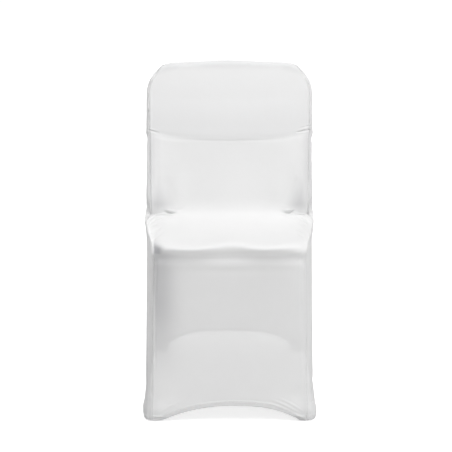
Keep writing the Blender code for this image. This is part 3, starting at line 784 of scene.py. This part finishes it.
def painted_shade_at(points):
    """How much painted shade greys the knit: over the board, round the rails and down the legs. In part it
    stands for the knit drawn thinner there.
    """
    x, y, z = np.abs(points[..., 0]), points[..., 1], points[..., 2]
    left = points[..., 0] < 0
    # painted shade on the board, down to its curved lower edge
    board_edge = 0.641 + 0.026 * above(x, 0, 0.2) ** 2.6
    board = SHADE_BOARD * soft_step(z, board_edge, 0.0015) * np.clip(1.25 - (z - 0.64) / 0.16, 0, 1)
    board = board * below(x, 0.204, 0.012) ** above(z, 0.68, 0.04)
    # painted shade round the rails beside the open span, and in its lower corners where the cloth is drawn back
    open_span = above(z, 0.465, 0.03) * below(z, 0.668, 0.01)
    rails = SHADE_RAILS * open_span * bell(x, 0.196, 0.016)
    corners = below(z, 0.60, 0.11) * above(x + 0.45 * (0.60 - z), 0.178, 0.035)
    corners = SHADE_CORNERS * open_span * corners * below(x, 0.195, 0.02)
    # painted shade down the front legs, on the cloth beside the left one, and in the hollow under the seat's
    # left corner
    legs = SHADE_LEGS * below(z, 0.43, 0.05) * bell(x, 0.198, 0.026)
    right_of_ridge = left * below(x, 0.1795, 0.003)
    beside_leg = below(z, 0.45, 0.02) * above(z, 0.10, 0.20) * bell(x, 0.172, 0.040)
    beside_leg = SHADE_BESIDE_LEG * right_of_ridge * beside_leg
    lip_corner = right_of_ridge * bell(below(x, 0.170, 1.0), 0, 0.015)
    lip_corner = SHADE_LIP_CORNER * lip_corner * np.exp(-(((z - 0.438) / 0.0110) ** 4))
    ahead = np.maximum.reduce([board, rails, corners, legs, beside_leg, lip_corner])
    # painted shade on the top roll, and on the sides of the front legs, seen edge on
    crest = SHADE_CREST * above(z + 0.25 * np.clip(x - 0.12, 0, 1), 0.802, 0.014)
    tube = np.where(left, SHADE_TUBE_LEFT, SHADE_TUBE_RIGHT) * below(z, 0.42, 0.18) * above(x, 0.196, 0.004)
    tube = tube * bell(y, rail_y(z), 0.045)
    front = y < 0.03 + RAIL_LEAN * z
    return np.maximum(np.maximum(tube, crest), np.where(front, ahead, GREY_ELSEWHERE))


# The knit's white, and the grey that painted shade mixes it towards.
KNIT_WHITE, KNIT_SHADE_GREY = (0.90, 0.90, 0.90, 1.0), (0.76, 0.76, 0.765, 1.0)
KNIT_SHADE = 0.965
KNIT_FINISH = {
    "Roughness": 0.62,
    "Specular IOR Level": 0.35,
    "Sheen Weight": 0.25,
    "Sheen Roughness": 0.5,
    "Alpha": 0.74,  # the rest is the light that a sheer knit lets through
}
WALE_PITCH, COURSE_PITCH = 0.0009, 0.0007
STITCH_RELIEF = {"Strength": 0.35, "Distance": 0.00012}
UNEVEN, UNEVEN_RELIEF = {"Scale": 38.0, "Detail": 3.0}, {"Strength": 0.35, "Distance": 0.0012}


def knit(name):
    """White elastic knit with its wales down the cut, a little uneven, and slightly sheer. Painted shade
    darkens it in the hollows of its relief, and greys it by an amount painted on each vertex.
    """
    cloth, nodes, links = new_material(name, KNIT_FINISH)
    shader = nodes["Principled BSDF"]
    cut = nodes.new("ShaderNodeUVMap")
    cut.uv_map = "cut"
    split = nodes.new("ShaderNodeSeparateXYZ")
    links.new(cut.outputs["UV"], split.inputs[0])

    def calc(kind, a, b=None):
        node = nodes.new("ShaderNodeMath")
        node.operation = kind
        for k, value in enumerate((a, b)):
            if isinstance(value, (int, float)):
                node.inputs[k].default_value = value
            elif value is not None:
                links.new(value, node.inputs[k])
        return node.outputs[0]

    # each wale is a rib, and the courses bend across it as loops
    wale = calc("MULTIPLY", split.outputs["X"], 1 / WALE_PITCH)
    course = calc("MULTIPLY", split.outputs["Y"], 1 / COURSE_PITCH)
    off = calc("ABSOLUTE", calc("SUBTRACT", calc("FRACT", wale), 0.5))
    loop = calc("SINE", calc("MULTIPLY", calc("ADD", course, calc("MULTIPLY", off, 1.3)), 2 * pi))
    rib = calc("SUBTRACT", 1.0, calc("POWER", calc("MULTIPLY", off, 2.0), 3.0))
    height = calc("MULTIPLY", calc("ADD", calc("MULTIPLY", loop, 0.25), 0.75), rib)
    stitches = with_inputs(nodes.new("ShaderNodeBump"), STITCH_RELIEF)
    links.new(height, stitches.inputs["Height"])
    place = nodes.new("ShaderNodeTexCoord")
    uneven = with_inputs(nodes.new("ShaderNodeTexNoise"), UNEVEN)
    links.new(place.outputs["Object"], uneven.inputs["Vector"])
    soft = with_inputs(nodes.new("ShaderNodeBump"), UNEVEN_RELIEF)
    links.new(uneven.outputs["Fac"], soft.inputs["Height"])
    links.new(stitches.outputs["Normal"], soft.inputs["Normal"])
    links.new(soft.outputs["Normal"], shader.inputs["Normal"])
    # painted shade: the knit's colour is darker where its stitch and uneven relief lie low
    relief_shade = nodes.new("ShaderNodeMix")
    relief_shade.data_type = "RGBA"
    relief_shade.inputs["A"].default_value = tuple(c * KNIT_SHADE for c in KNIT_WHITE[:3]) + (1.0,)
    relief_shade.inputs["B"].default_value = KNIT_WHITE
    lit = calc("ADD", calc("MULTIPLY", uneven.outputs["Fac"], 0.5), calc("MULTIPLY", height, 0.5))
    links.new(lit, relief_shade.inputs["Factor"])
    # painted shade: the knit is greyed by the amount painted on each vertex
    painted_shade = nodes.new("ShaderNodeAttribute")
    painted_shade.attribute_name = "painted_shade"
    grey = nodes.new("ShaderNodeMix")
    grey.data_type = "RGBA"
    grey.clamp_factor = False
    grey.inputs["B"].default_value = KNIT_SHADE_GREY
    links.new(painted_shade.outputs["Fac"], grey.inputs["Factor"])
    links.new(relief_shade.outputs["Result"], grey.inputs["A"])
    links.new(grey.outputs["Result"], shader.inputs["Base Color"])
    return cloth


# The turned-up layer of the hem lies just inside the panel. Painted shade greys it, most at the back, where it
# shows through the front as a darker band.
CLOTH_THICK, HEM_GAP, HEM_FOLD = 0.0012, 0.0002, 0.001
HEM_SHADE = {"front": 1.0, "right": 1.0, "left": 1.0, "back": 4.5}
knit_white = knit("white_stretch_knit")
surface = {part: dressed(part) for part in taut}


def finished(build, name, material):
    """The bmesh as a piece of the cover."""
    piece = modelled(build, name, material)
    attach(piece, "root")
    return piece


def thickened(piece):
    """Give the cloth its thickness, inwards from its outer face."""
    wall = piece.modifiers.new("cloth_thickness", "SOLIDIFY")
    wall.thickness, wall.offset = CLOTH_THICK, -1.0
    return piece


def sewn_sheet(name, part):
    """One panel as a closed, slim sheet, laid out flat as a grid and then drawn into its stretched shape."""
    points, across, along = surface[part]
    to_hem = (along[-1] - along).mean(axis=1)
    turned_up = np.arange(len(along) - 1, np.argmax(to_hem < HEM_BAND - HEM_FOLD) - 1, -1)
    inner = points[turned_up] - (2 * CLOTH_THICK + HEM_GAP) * facing[part][turned_up]
    points = np.concatenate([points, inner])
    # each point's painted shade, which greys its colour
    shade_grey = painted_shade_at(taut[part])
    # the hem's turned-up layer gets painted shade, darkest at the back
    shade_grey = np.concatenate([shade_grey, np.full_like(shade_grey[turned_up], HEM_SHADE[part])])
    along = np.concatenate([along, 2 * along[-1:] + HEM_FOLD - along[turned_up]])
    across = np.concatenate([across, across[turned_up]])
    rows, columns = across.shape
    build = bmesh.new()
    cut = build.loops.layers.uv.new("cut")
    painted_shade = build.verts.layers.float.new("painted_shade")
    bmesh.ops.create_grid(build, x_segments=columns - 1, y_segments=rows - 1, size=0.5)
    for vert in build.verts:
        c = round((vert.co.x + 0.5) * (columns - 1))
        r = round((0.5 - vert.co.y) * (rows - 1))
        vert.co = points[r, c] - ORIGIN
        vert[painted_shade] = shade_grey[r, c]
        vert.index = r * columns + c
    for face in build.faces:
        face.smooth = True
        for loop in face.loops:
            r, c = divmod(loop.vert.index, columns)
            loop[cut].uv = (across[r, c], along[r, c])
    bmesh.ops.remove_doubles(build, verts=build.verts, dist=0.00002)
    return thickened(finished(build, name, knit_white))


THREAD_SHADE, THREAD_WHITE = (0.84, 0.84, 0.84, 1.0), (0.93, 0.93, 0.93, 1.0)


def spun_thread():
    """White polyester thread, twisted and a little glossy."""
    thread, nodes, links = new_material("white_sewing_thread", {"Roughness": 0.42, "Sheen Weight": 0.3})
    shader = nodes["Principled BSDF"]
    place = nodes.new("ShaderNodeTexCoord")
    twist = with_inputs(nodes.new("ShaderNodeTexWave"), {"Scale": 900.0})
    twist.bands_direction = "DIAGONAL"
    ply = with_inputs(nodes.new("ShaderNodeBump"), {"Strength": 0.4, "Distance": 0.0001})
    links.new(place.outputs["Object"], twist.inputs["Vector"])
    links.new(twist.outputs["Fac"], ply.inputs["Height"])
    links.new(ply.outputs["Normal"], shader.inputs["Normal"])
    shade = nodes.new("ShaderNodeMix")
    shade.data_type = "RGBA"
    shade.inputs["A"].default_value, shade.inputs["B"].default_value = THREAD_SHADE, THREAD_WHITE
    links.new(twist.outputs["Fac"], shade.inputs["Factor"])
    links.new(shade.outputs["Result"], shader.inputs["Base Color"])
    return thread


# A stitch is a short bar of thread that stands mostly above the cloth, sags a little towards both ends, and
# dives in there, where it is half as wide. The sizes are shares of the thread's radius.
THREAD_R = 0.00022
STANDS_UP, SAGS, DIVES = 0.6, 0.5, 0.8
white_thread = spun_thread()


def stitched(name, runs, pitch, length, slant):
    """Rows of thread stitches along runs of (points, normals), turned by slant degrees from the row."""
    build = bmesh.new()
    bmesh.ops.create_cone(build, cap_ends=True, segments=5, radius1=THREAD_R, radius2=THREAD_R, depth=length)
    rungs = [e for e in build.edges if abs(e.verts[0].co.z - e.verts[1].co.z) > length / 2]
    bmesh.ops.subdivide_edges(build, edges=rungs, cuts=2)
    for vert in build.verts:
        vert.co.y -= SAGS * THREAD_R * (2 * vert.co.z / length) ** 2
        if abs(vert.co.z) > 0.49 * length:
            vert.co.x, vert.co.y = vert.co.x / 2, vert.co.y - DIVES * THREAD_R
    pattern = list(build.verts) + list(build.edges) + list(build.faces)
    for points, normals in runs:
        gone = np.concatenate([[0.0], np.cumsum(np.linalg.norm(np.diff(points, axis=0), axis=1))])
        at = np.arange(pitch / 2, gone[-1], pitch)
        centre, ahead, behind, out = (
            np.stack([np.interp(places, gone, values[:, k]) for k in range(3)], axis=1)
            for places, values in (
                (at, points), (at + pitch / 4, points), (at - pitch / 4, points), (at, normals)
            )
        )
        for c, a, n in zip(centre, ahead - behind, out):
            a, n = Vector(a).normalized(), Vector(n).normalized()
            across = n.cross(a).normalized()
            way = (a * cos(radians(slant)) + across * sin(radians(slant))).normalized()
            up = (n - way * n.dot(way)).normalized()
            turn = Matrix((up.cross(way), up, way)).transposed().to_4x4()
            turn.translation = Vector(c - ORIGIN) + STANDS_UP * THREAD_R * up
            copy = bmesh.ops.duplicate(build, geom=pattern)["geom"]
            verts = [v for v in copy if isinstance(v, bmesh.types.BMVert)]
            bmesh.ops.transform(build, matrix=turn, verts=verts)
    first = [v for v in pattern if isinstance(v, bmesh.types.BMVert)]
    bmesh.ops.delete(build, geom=first, context="VERTS")
    for face in build.faces:
        face.smooth = True
    return finished(build, name, white_thread)


def hem_run(part, height):
    """The line on a panel at this height above its hem, with the normals there."""
    points, across, along = surface[part]
    to_hem = along[-1] - along
    line, out = [], []
    for c in range(3, points.shape[1] - 3):
        r = np.argmax(to_hem[:, c] <= height)
        t = (to_hem[r - 1, c] - height) / (to_hem[r - 1, c] - to_hem[r, c])
        line.append(points[r - 1, c] + t * (points[r, c] - points[r - 1, c]))
        out.append(facing[part][r, c])
    return np.array(line), np.array(out)


# Two rows of hem stitches, at these heights, and the seams' overlock: pitch, length and slant of a stitch.
HEM_ROWS = (0.0118, 0.0092)
HEM_STITCHES = (0.0032, 0.0025, 0)
SEAM_STITCHES = (0.0024, 0.0034, 68)
SEAM_FIRST_ROW = 6


# Front strip. One length of knit from the seam behind the top roll, down the back's front, over the seat and
# down to the front hem, which is folded up and sewn with two rows of stitches.
front_strip = sewn_sheet("front_strip", "front")
front_hem = stitched("front_hem_stitches", [hem_run("front", h) for h in HEM_ROWS], *HEM_STITCHES)
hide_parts("front_panel")

# Back panel. One taut piece of the same knit from the top seam to the rear hem, overlocked to the front strip
# and the side panels. Its hem is folded up and sewn like the front one.
back_sheet = sewn_sheet("back_sheet", "back")
back_hem = stitched("back_hem_stitches", [hem_run("back", h) for h in HEM_ROWS], *HEM_STITCHES)
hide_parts("back_panel")

# Side panels. Gussets of the same knit that start as a point at the top corner and widen to the feet. Each is
# overlocked to the front strip and the back panel, and has its own sewn hem.
for word in ("right", "left"):
    side_sheet = sewn_sheet("side_sheet_" + word, word)
    runs = [hem_run(word, h) for h in HEM_ROWS]
    side_hem = stitched("side_hem_stitches_" + word, runs, *HEM_STITCHES)
    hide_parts("side_panel_" + word)

# Seams. The panels are joined edge to edge by a flat overlock in white polyester thread, down both sides at
# front and rear and along the top. Its slanting stitches cross the groove between the panels.
for word, part, column in (
    ("front_seam_right", "front", -1),
    ("front_seam_left", "front", 0),
    ("rear_seam_right", "back", 0),
    ("rear_seam_left", "back", -1),
):
    run = (taut[part][SEAM_FIRST_ROW:, column], facing[part][SEAM_FIRST_ROW:, column])
    stitched(word, [run], *SEAM_STITCHES)
stitched("top_seam", [(taut["front"][0], facing["front"][1])], *SEAM_STITCHES)

# Foot pockets. A shallow cup of the same knit is sewn inside each hem corner and closes under the foot. Its
# floor is gathered into small pleats where it turns up.
POCKETS = {
    # foot and side: centre x, centre y, slope of y with height, width against the front left one
    "front_left": (-0.1888, 0.0140, 0.30, 1.00),
    "front_right": (0.1909, 0.0140, 0.30, 1.00),
    "rear_left": (-0.1748, 0.4308, -0.17, 0.93),
    "rear_right": (0.1762, 0.4324, -0.17, 0.93),
}
POCKET_PROFILE = (
    # radius and height, millimetres
    (0.0, 0.3),
    (7.0, 0.3),
    (12.5, 0.2),
    (14.6, 0.4),
    (16.0, 1.6),
    (16.6, 3.2),
    (16.3, 6.0),
    (16.2, 11.0),
    (16.4, 19.0),
    (16.1, 30.0),
    (14.6, 41.5),
)
POCKET_RINGS, POCKET_STEPS = 40, 72
FIRST_RING = 0.6  # millimetres from the centre, round one small face
PLEATS, PLEAT_DEPTH, PLEAT_RISE = 18, 0.0007, 0.4
PLEAT_R, PLEAT_R_REACH, PLEAT_Z_REACH = 0.0150, 0.0030, 0.009
for word, (x, y, slope, wide) in POCKETS.items():
    length = run_of(np.array([[(r, 0, z)] for r, z in POCKET_PROFILE], float), 0)
    rings = np.linspace(FIRST_RING, length[-1], POCKET_RINGS)
    profile = through(length, np.array(POCKET_PROFILE, float), rings) / 1000
    build = bmesh.new()
    line = [build.verts.new((max(r, 0.0) * wide, 0.0, max(z, 0.0))) for r, z in profile]
    edges = [build.edges.new(pair) for pair in zip(line, line[1:])]
    turn = {"cent": (0, 0, 0), "axis": (0, 0, 1), "angle": 2 * pi, "steps": POCKET_STEPS, "use_merge": True}
    bmesh.ops.spin(build, geom=line + edges, **turn)
    middle = [v for v in build.verts if abs(Vector(v.co.xy).length - profile[0][0] * wide) < 1e-6]
    bmesh.ops.contextual_create(build, geom=middle)
    bmesh.ops.recalc_face_normals(build, faces=build.faces)
    cut = build.loops.layers.uv.new("cut")
    for vert in build.verts:
        r, a = Vector(vert.co.xy).length, np.arctan2(vert.co.y, vert.co.x)
        gather = bell(r, PLEAT_R * wide, PLEAT_R_REACH) * bell(vert.co.z, 0, PLEAT_Z_REACH)
        pleat = PLEAT_DEPTH * gather * (0.5 + 0.5 * sin(PLEATS * a + 2 * sin(3 * a + x * 40)))
        drawn_in = 1 - pleat / max(r, 1e-6)
        vert.co = (vert.co.x * drawn_in, vert.co.y * drawn_in, vert.co.z + PLEAT_RISE * pleat)
    for face in build.faces:
        face.smooth = True
        for loop in face.loops:
            p = loop.vert.co
            a = np.arctan2(p.y, p.x)
            loop[cut].uv = (p.x + p.z * cos(a), p.y + p.z * sin(a))
    for vert in build.verts:
        vert.co = Vector((vert.co.x + x, vert.co.y + y + slope * vert.co.z, vert.co.z)) - Vector(ORIGIN)
    pocket = thickened(finished(build, "foot_pocket_cup_" + word, knit_white))
    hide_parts("foot_pocket_" + word)
